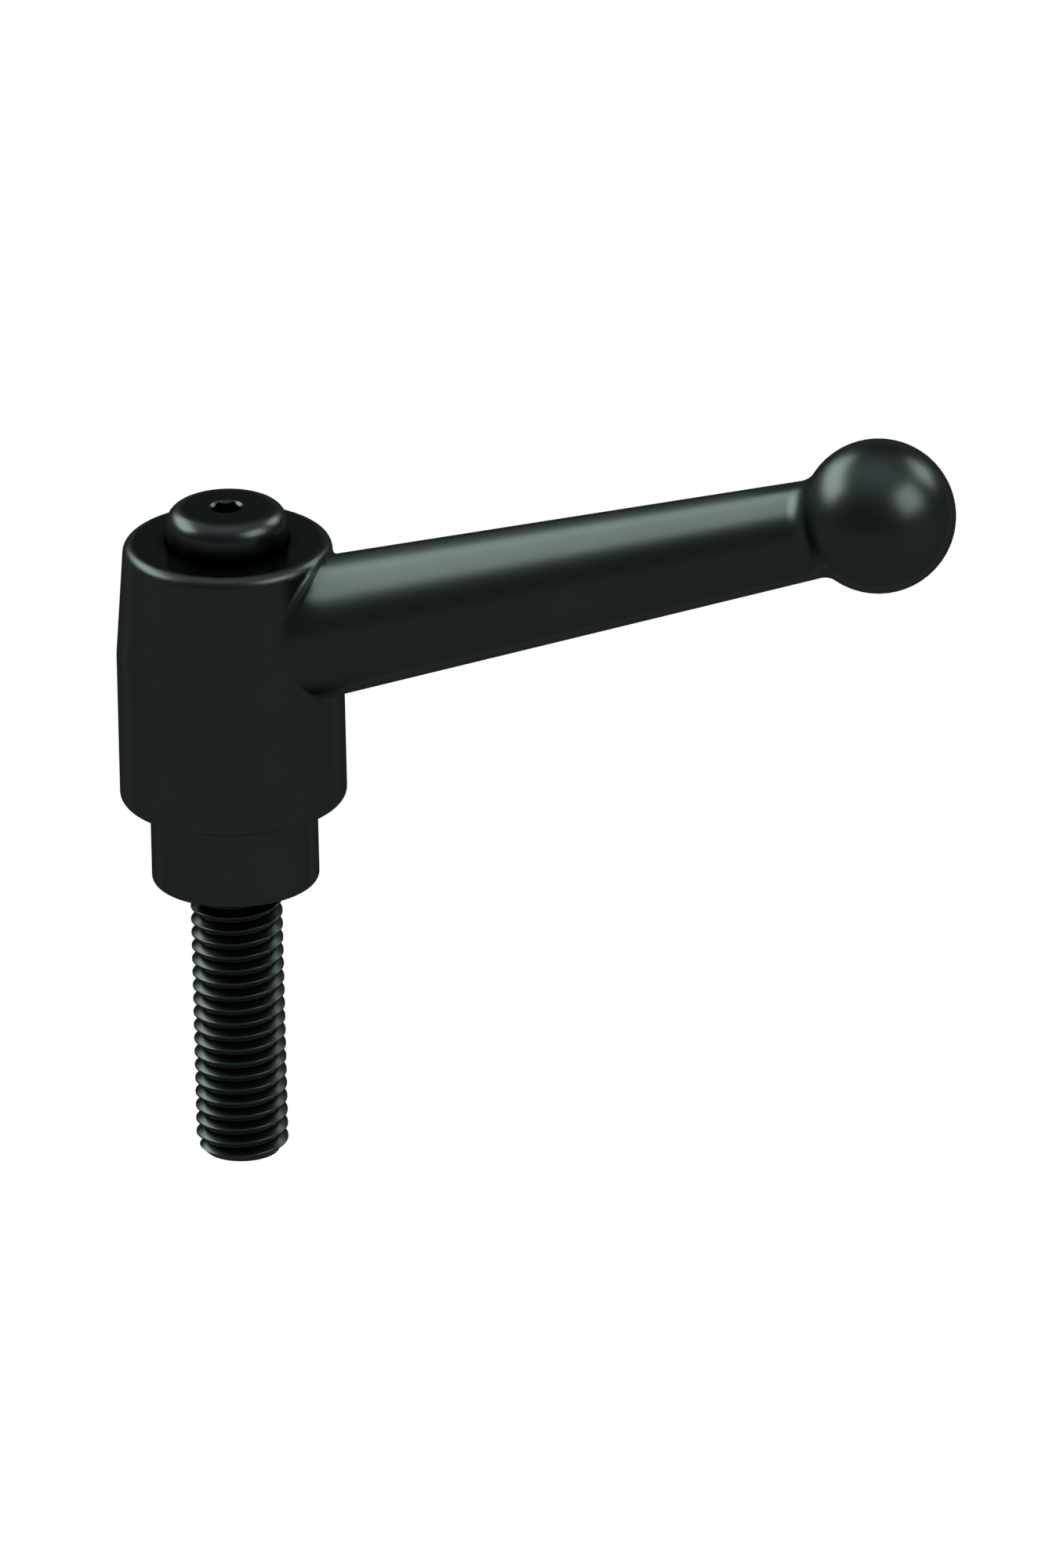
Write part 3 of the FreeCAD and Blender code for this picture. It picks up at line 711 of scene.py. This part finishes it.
def spring_tree():
    """Round wire wound with one closed turn at each end, both ends ground flat."""
    tree = bpy.data.node_groups.new("coil_spring", "GeometryNodeTree")
    for name in ("Wire Radius", "Coil Radius", "Foot", "Head", "Open Turns", "End Pitch"):
        add_input(tree, name, "NodeSocketFloat")
    add_input(tree, "Steps per Turn", "NodeSocketInt", COIL_STEPS)
    add_input(tree, "Material", "NodeSocketMaterial")
    tree.interface.new_socket("Geometry", in_out="OUTPUT", socket_type="NodeSocketGeometry")
    inlet = add_node(tree, "NodeGroupInput").outputs
    outlet = add_node(tree, "NodeGroupOutput")
    calc = partial(calculate, tree)

    turns = calc("ADD", inlet["Open Turns"], 2.0)
    steps = calc("MULTIPLY", turns, inlet["Steps per Turn"])
    line = add_node(tree, "GeometryNodeMeshLine")
    feed(tree, line.inputs["Count"], calc("ADD", steps, 1.0))
    path = add_node(tree, "GeometryNodeMeshToCurve")
    feed(tree, path.inputs["Mesh"], line.outputs["Mesh"])
    index = add_node(tree, "GeometryNodeInputIndex").outputs[0]
    turn = calc("DIVIDE", index, inlet["Steps per Turn"])
    open_length = calc("SUBTRACT", calc("SUBTRACT", inlet["Head"], inlet["Foot"]),
                       calc("MULTIPLY", inlet["End Pitch"], 2.0))
    open_pitch = calc("DIVIDE", open_length, inlet["Open Turns"])
    lower = calc("MINIMUM", turn, 1.0)
    middle = calc("MINIMUM", calc("MAXIMUM", calc("SUBTRACT", turn, 1.0), 0.0), inlet["Open Turns"])
    upper = calc("SUBTRACT", calc("SUBTRACT", turn, lower), middle)
    height = calc("ADD", calc("ADD", inlet["Foot"], calc("MULTIPLY", middle, open_pitch)),
                  calc("MULTIPLY", calc("ADD", lower, upper), inlet["End Pitch"]))
    angle = calc("MULTIPLY", turn, math.tau)
    point = add_node(tree, "ShaderNodeCombineXYZ")
    feed(tree, point.inputs["X"], calc("MULTIPLY", inlet["Coil Radius"], calc("COSINE", angle)))
    feed(tree, point.inputs["Y"], calc("MULTIPLY", inlet["Coil Radius"], calc("SINE", angle)))
    feed(tree, point.inputs["Z"], height)
    wound = add_node(tree, "GeometryNodeSetPosition")
    feed(tree, wound.inputs["Geometry"], path.outputs["Curve"])
    feed(tree, wound.inputs["Position"], point.outputs[0])
    section = add_node(tree, "GeometryNodeCurvePrimitiveCircle")
    feed(tree, section.inputs["Resolution"], WIRE_SIDES)
    feed(tree, section.inputs["Radius"], inlet["Wire Radius"])
    wire = add_node(tree, "GeometryNodeCurveToMesh")
    feed(tree, wire.inputs["Curve"], wound.outputs["Geometry"])
    feed(tree, wire.inputs["Profile Curve"], section.outputs["Curve"])
    feed(tree, wire.inputs["Fill Caps"], True)
    place = add_node(tree, "ShaderNodeSeparateXYZ")
    feed(tree, place.inputs[0], add_node(tree, "GeometryNodeInputPosition").outputs[0])
    flat = add_node(tree, "ShaderNodeCombineXYZ")
    feed(tree, flat.inputs["X"], place.outputs["X"])
    feed(tree, flat.inputs["Y"], place.outputs["Y"])
    feed(tree, flat.inputs["Z"], calc("MINIMUM", calc("MAXIMUM", place.outputs["Z"], inlet["Foot"]),
                                      inlet["Head"]))
    ground = add_node(tree, "GeometryNodeSetPosition")
    feed(tree, ground.inputs["Geometry"], wire.outputs["Mesh"])
    feed(tree, ground.inputs["Position"], flat.outputs[0])
    finish_tree(tree, ground.outputs["Geometry"], inlet["Material"], outlet)
    return tree


# Shank of the insert

def shank_outline(sizes, radius):
    """Angles and groove depths round the shank: each groove's four corners and the land between."""
    pitch = math.tau / sizes.groove_count
    bottom = sizes.groove_bottom / 2 / (radius - sizes.groove_depth)
    mouth = sizes.groove_mouth / 2 / radius
    outline = []
    land = pitch - 2 * mouth
    for index in range(sizes.groove_count):
        centre = index * pitch
        outline += [(centre - mouth, 0.0), (centre - bottom, 1.0)]
        outline += [(centre + bottom, 1.0), (centre + mouth, 0.0)]
        outline += [(centre + mouth + land * share, 0.0) for share in LAND_POINTS]
    return outline


def shank_mesh(sizes, radius, top):
    """Closed shank with a rounded lower edge, grooves round its upper end and the screw's hole."""
    outline = shank_outline(sizes, radius)
    hole = sizes.hole_diameter / 2
    point_rise = hole / math.tan(DRILL_SLOPE)
    rings = [(hole / 2, 0.0, 0.0)]
    for step in range(EDGE_STEPS + 1):
        turned = step * math.pi / 2 / EDGE_STEPS
        rings.append((radius - sizes.edge_round * (1 - math.sin(turned)),
                      sizes.edge_round * (1 - math.cos(turned)), 0.0))
    groove_foot = top - sizes.groove_length
    rings += [
        (radius, groove_foot, 0.0),
        (radius, groove_foot, 1.0),
        (radius, top - sizes.top_bevel, 1.0),
        (radius - sizes.top_bevel, top, 1.0),
        (hole, top, 0.0),
        (hole, top - sizes.hole_depth, 0.0),
    ]
    mesh = bpy.data.meshes.new("insert_shank")
    work = bmesh.new()
    made = []
    for ring_radius, height, grooved in rings:
        ring = []
        for angle, depth in outline:
            reach = min(ring_radius, radius - sizes.groove_depth * depth) if grooved else ring_radius
            ring.append(work.verts.new((reach * math.cos(angle), reach * math.sin(angle), height)))
        made.append(ring)
    count = len(outline)
    for lower, upper in zip(made, made[1:]):
        for index in range(count):
            other = (index + 1) % count
            work.faces.new((lower[index], lower[other], upper[other], upper[index]))
    work.faces.new(made[0])
    tip = work.verts.new((0.0, 0.0, top - sizes.hole_depth - point_rise))
    for index in range(count):
        work.faces.new((made[-1][index], made[-1][(index + 1) % count], tip))
    work.to_mesh(mesh)
    work.free()
    return mesh


# Operators

class LEVER_OT_casting(bpy.types.Operator):
    """Round the cast lever's neck and give it its black coat"""

    bl_idname = "lever.casting"
    bl_label = "Finish the casting"

    def execute(self, context):
        finish = context.scene.lever_finish
        # The coat gets painted shade, black in its recesses, from ambient occlusion.
        coat = black_finish("lever_black_coat", finish.coat, finish.coat_roughness, finish.painted_shade_reach,
                            PAINTED_SHADE_OPENNESS, COAT_GRAIN)
        smooth_level_faces(coat, finish.coat_roughness, finish.face_roughness)
        shape = casting_mesh(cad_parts["lever"].data, context.scene.lever_casting)
        casting = bpy.data.objects.new("lever_casting", shape)
        context.scene.collection.objects.link(casting)
        put_on(casting, coat)
        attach(casting, "lever")
        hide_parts("lever")
        return {"FINISHED"}


class LEVER_OT_insert(bpy.types.Operator):
    """Build the insert's shank and cut the thread of its stud"""

    bl_idname = "lever.insert"
    bl_label = "Build the insert"

    def execute(self, context):
        finish = context.scene.lever_finish
        shank = context.scene.lever_shank
        thread = context.scene.lever_thread
        # The oxide gets painted shade, black in the thread's roots and other recesses, from ambient
        # occlusion.
        oxide = black_finish("insert_black_oxide", finish.oxide, finish.oxide_roughness, finish.painted_shade_reach,
                             THREAD_PAINTED_SHADE_OPENNESS, OXIDE_GRAIN, marks=TURNING_MARKS)
        radius = INSERT_HIGH.x
        body = bpy.data.objects.new("insert_shank", shank_mesh(shank, radius, INSERT_HIGH.z))
        context.scene.collection.objects.link(body)
        face_outwards(body.data, SHANK_SHARP)
        put_on(body, oxide)
        stud = run_nodes("stud_thread", thread_tree(), {
            "Pitch": thread.pitch,
            "Crest Radius": thread.crest_diameter / 2,
            "Depth": thread.depth,
            "Crest Share": thread.crest_share,
            "Root Share": thread.root_share,
            "Edge Share": thread.edge_share,
            "Start": -thread.pitch * thread.start_angle / math.tau,
            "Foot": INSERT_LOW.z,
            "Head": thread.overlap,
            "End Radius": thread.end_diameter / 2,
            "Segments": THREAD_SEGMENTS,
            "Material": oxide,
        })
        face_outwards(stud.data, THREAD_SHARP)
        for piece in (body, stud):
            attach(piece, "insert")
            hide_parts("threaded_insert")
        return {"FINISHED"}


class LEVER_OT_screw(bpy.types.Operator):
    """Give the retaining screw its black oxide"""

    bl_idname = "lever.screw"
    bl_label = "Blacken the screw"

    def execute(self, context):
        finish = context.scene.lever_finish
        # The screw's oxide gets painted shade, black in its recesses, from ambient occlusion.
        oxide = black_finish("screw_black_oxide", finish.oxide, finish.oxide_roughness, finish.painted_shade_reach,
                             PAINTED_SHADE_OPENNESS, OXIDE_GRAIN)
        smooth_level_faces(oxide, finish.oxide_roughness, finish.face_roughness)
        put_on(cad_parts["retaining_screw"], oxide)
        return {"FINISHED"}


class LEVER_OT_spring(bpy.types.Operator):
    """Wind the coil spring, which shortens as the lever lifts"""

    bl_idname = "lever.spring"
    bl_label = "Wind the spring"

    def execute(self, context):
        sizes = context.scene.lever_spring
        wire = wire_finish("spring_wire", context.scene.lever_finish.wire)
        coil = run_nodes("coil_spring", spring_tree(), {
            "Wire Radius": sizes.wire / 2,
            "Coil Radius": sizes.coil / 2,
            "Foot": SPRING_LOW.z,
            "Head": SPRING_HIGH.z,
            "Open Turns": sizes.open_turns,
            "End Pitch": sizes.wire + sizes.end_gap,
            "Steps per Turn": COIL_STEPS,
            "Material": wire,
        })
        face_outwards(coil.data, COIL_SHARP)
        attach(coil, "spring")
        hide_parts("compression_spring")
        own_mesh(coil)
        return {"FINISHED"}


def look_from(side, rise):
    """Camera's right, up and back directions for a side and a height above the horizon."""
    right = Vector((math.cos(side), math.sin(side), 0.0))
    back = Vector((math.sin(side) * math.cos(rise), -math.cos(side) * math.cos(rise), math.sin(rise)))
    return right, back.cross(right), back


def build_camera(studio):
    """Camera at the photograph's angle, with no perspective."""
    right, up, back = look_from(studio.side, studio.rise)
    lens = bpy.data.cameras.new("camera")
    lens.type = "ORTHO"
    lens.ortho_scale = studio.picture_height
    lens.clip_start = CAMERA_NEAR
    lens.clip_end = CAMERA_FAR
    camera = bpy.data.objects.new("camera", lens)
    middle = right * studio.picture_right + up * studio.picture_up
    across = right * math.cos(studio.roll) - up * math.sin(studio.roll)
    upward = up * math.cos(studio.roll) + right * math.sin(studio.roll)
    turn = Matrix((across, upward, back)).transposed().to_4x4()
    camera.matrix_world = Matrix.Translation(middle + back * CAMERA_DISTANCE) @ turn
    bpy.context.scene.collection.objects.link(camera)
    bpy.context.scene.camera = camera


def hang_lamp(name, place, direction, width, height, brightness):
    """A rectangular lamp that faces the object."""
    lamp = bpy.data.lights.new(name, "AREA")
    lamp.shape = "RECTANGLE"
    lamp.size = width
    lamp.size_y = height
    lamp.energy = brightness * math.pi * width * height
    holder = bpy.data.objects.new(name, lamp)
    holder.location = place
    holder.rotation_mode = "QUATERNION"
    holder.rotation_quaternion = direction.to_track_quat("Z", "Y")
    bpy.context.scene.collection.objects.link(holder)
    return holder


def build_lamps(studio):
    """Soft boxes round the object: one lamp for the gloss and a weaker one for all other light."""
    for name, side, rise, across, upward, brightness in SOFT_BOXES:
        side, rise = math.radians(side), math.radians(rise)
        level = math.cos(rise)
        direction = Vector((math.cos(side) * level, math.sin(side) * level, math.sin(rise)))
        place = LAMP_TARGET + direction * studio.lamp_distance
        width = 2 * studio.lamp_distance * math.tan(math.radians(across / 2))
        height = 2 * studio.lamp_distance * math.tan(math.radians(upward / 2))
        gloss = hang_lamp(name + "_gloss", place, direction, width, height, brightness)
        gloss.visible_diffuse = False
        light = hang_lamp(name, place, direction, width, height, brightness * studio.lamp_share)
        light.visible_glossy = False


def shown_directly(tree):
    """1 where a ray comes from the camera, a reflection or glass, 0 for other light."""
    path = add_node(tree, "ShaderNodeLightPath")
    seen = calculate(tree, "MAXIMUM", path.outputs["Is Camera Ray"], path.outputs["Is Glossy Ray"])
    return calculate(tree, "MAXIMUM", seen, path.outputs["Is Transmission Ray"])


def build_floor(studio):
    """Plain pale floor that shows white and still takes the object's shadow."""
    work = bmesh.new()
    bmesh.ops.create_circle(work, cap_ends=True, radius=FLOOR_RADIUS, segments=FLOOR_SIDES)
    for vertex in work.verts:
        vertex.co.z = -studio.floor_drop
    mesh = bpy.data.meshes.new("floor")
    work.to_mesh(mesh)
    work.free()
    floor = bpy.data.objects.new("floor", mesh)
    bpy.context.scene.collection.objects.link(floor)
    material = bpy.data.materials.new("pale_floor")
    material.use_nodes = True
    tree = material.node_tree
    tree.nodes.clear()
    outlet = add_node(tree, "ShaderNodeOutputMaterial")
    paint = add_node(tree, "ShaderNodeBsdfDiffuse")
    paint.inputs["Color"].default_value = (*studio.floor_colour, 1.0)
    glow = add_node(tree, "ShaderNodeEmission")
    glow.inputs["Color"].default_value = (1.0, 1.0, 1.0, 1.0)
    glow.inputs["Strength"].default_value = 1.0
    mixed = add_node(tree, "ShaderNodeMixShader")
    feed(tree, mixed.inputs[0], calculate(tree, "MULTIPLY", shown_directly(tree), studio.floor_glow))
    feed(tree, mixed.inputs[1], paint.outputs[0])
    feed(tree, mixed.inputs[2], glow.outputs[0])
    feed(tree, outlet.inputs["Surface"], mixed.outputs[0])
    # The white that is shown lights nothing, so it isn't sampled as a lamp.
    material.cycles.emission_sampling = "NONE"
    put_on(floor, material)


def build_sky(studio):
    """Background that is dim at the horizon and bright overhead."""
    world = bpy.data.worlds.new("studio")
    bpy.context.scene.world = world
    world.use_nodes = True
    tree = world.node_tree
    tree.nodes.clear()
    outlet = add_node(tree, "ShaderNodeOutputWorld")
    sky = add_node(tree, "ShaderNodeBackground")
    place = add_node(tree, "ShaderNodeTexCoord")
    split = add_node(tree, "ShaderNodeSeparateXYZ")
    feed(tree, split.inputs[0], place.outputs["Generated"])
    height = calculate(tree, "MAXIMUM", split.outputs["Z"], 0.0)
    rise = calculate(tree, "POWER", height, SKY_POWER)
    gain = calculate(tree, "MULTIPLY", rise, studio.sky_high - studio.sky_low)
    sky.inputs["Color"].default_value = (*studio.sky_colour, 1.0)
    feed(tree, sky.inputs["Strength"], calculate(tree, "ADD", gain, studio.sky_low))
    feed(tree, outlet.inputs["Surface"], sky.outputs[0])


class LEVER_OT_stage(bpy.types.Operator):
    """Set up the floor, the soft light and the camera"""

    bl_idname = "lever.stage"
    bl_label = "Set up the studio"

    def execute(self, context):
        studio = context.scene.lever_studio
        context.scene.view_settings.view_transform = "Standard"
        build_floor(studio)
        build_sky(studio)
        build_lamps(studio)
        build_camera(studio)
        return {"FINISHED"}


class LEVER_PT_dressing(bpy.types.Panel):
    """Sidebar panel with the lever's operators and settings"""

    bl_idname = "LEVER_PT_dressing"
    bl_label = "Clamping lever"
    bl_space_type = "VIEW_3D"
    bl_region_type = "UI"
    bl_category = "Lever"

    def draw(self, context):
        layout = self.layout
        for operator in STEPS:
            layout.operator(operator.bl_idname)
        for holder in SETTINGS:
            box = layout.box()
            for name in SETTINGS[holder].__annotations__:
                box.prop(getattr(context.scene, holder), name)


STEPS = (LEVER_OT_casting, LEVER_OT_insert, LEVER_OT_screw, LEVER_OT_spring, LEVER_OT_stage)
SETTINGS = {
    "lever_casting": CastingSizes,
    "lever_thread": StudThreadSizes,
    "lever_shank": ShankSizes,
    "lever_spring": SpringSizes,
    "lever_finish": FinishColours,
    "lever_studio": StudioSettings,
}


def register():
    """Register the settings, the operators and the panel."""
    for group in SETTINGS.values():
        bpy.utils.register_class(group)
    for holder, group in SETTINGS.items():
        setattr(bpy.types.Scene, holder, bpy.props.PointerProperty(type=group))
    for operator in STEPS:
        bpy.utils.register_class(operator)
    bpy.utils.register_class(LEVER_PT_dressing)


def unregister():
    """Take everything back out."""
    bpy.utils.unregister_class(LEVER_PT_dressing)
    for operator in reversed(STEPS):
        bpy.utils.unregister_class(operator)
    for holder, group in SETTINGS.items():
        delattr(bpy.types.Scene, holder)
        bpy.utils.unregister_class(group)


def main():
    """Build every piece and the stage."""
    register()
    bpy.ops.lever.casting()
    bpy.ops.lever.insert()
    bpy.ops.lever.screw()
    bpy.ops.lever.spring()
    bpy.ops.lever.stage()


if __name__ == "__main__":
    main()
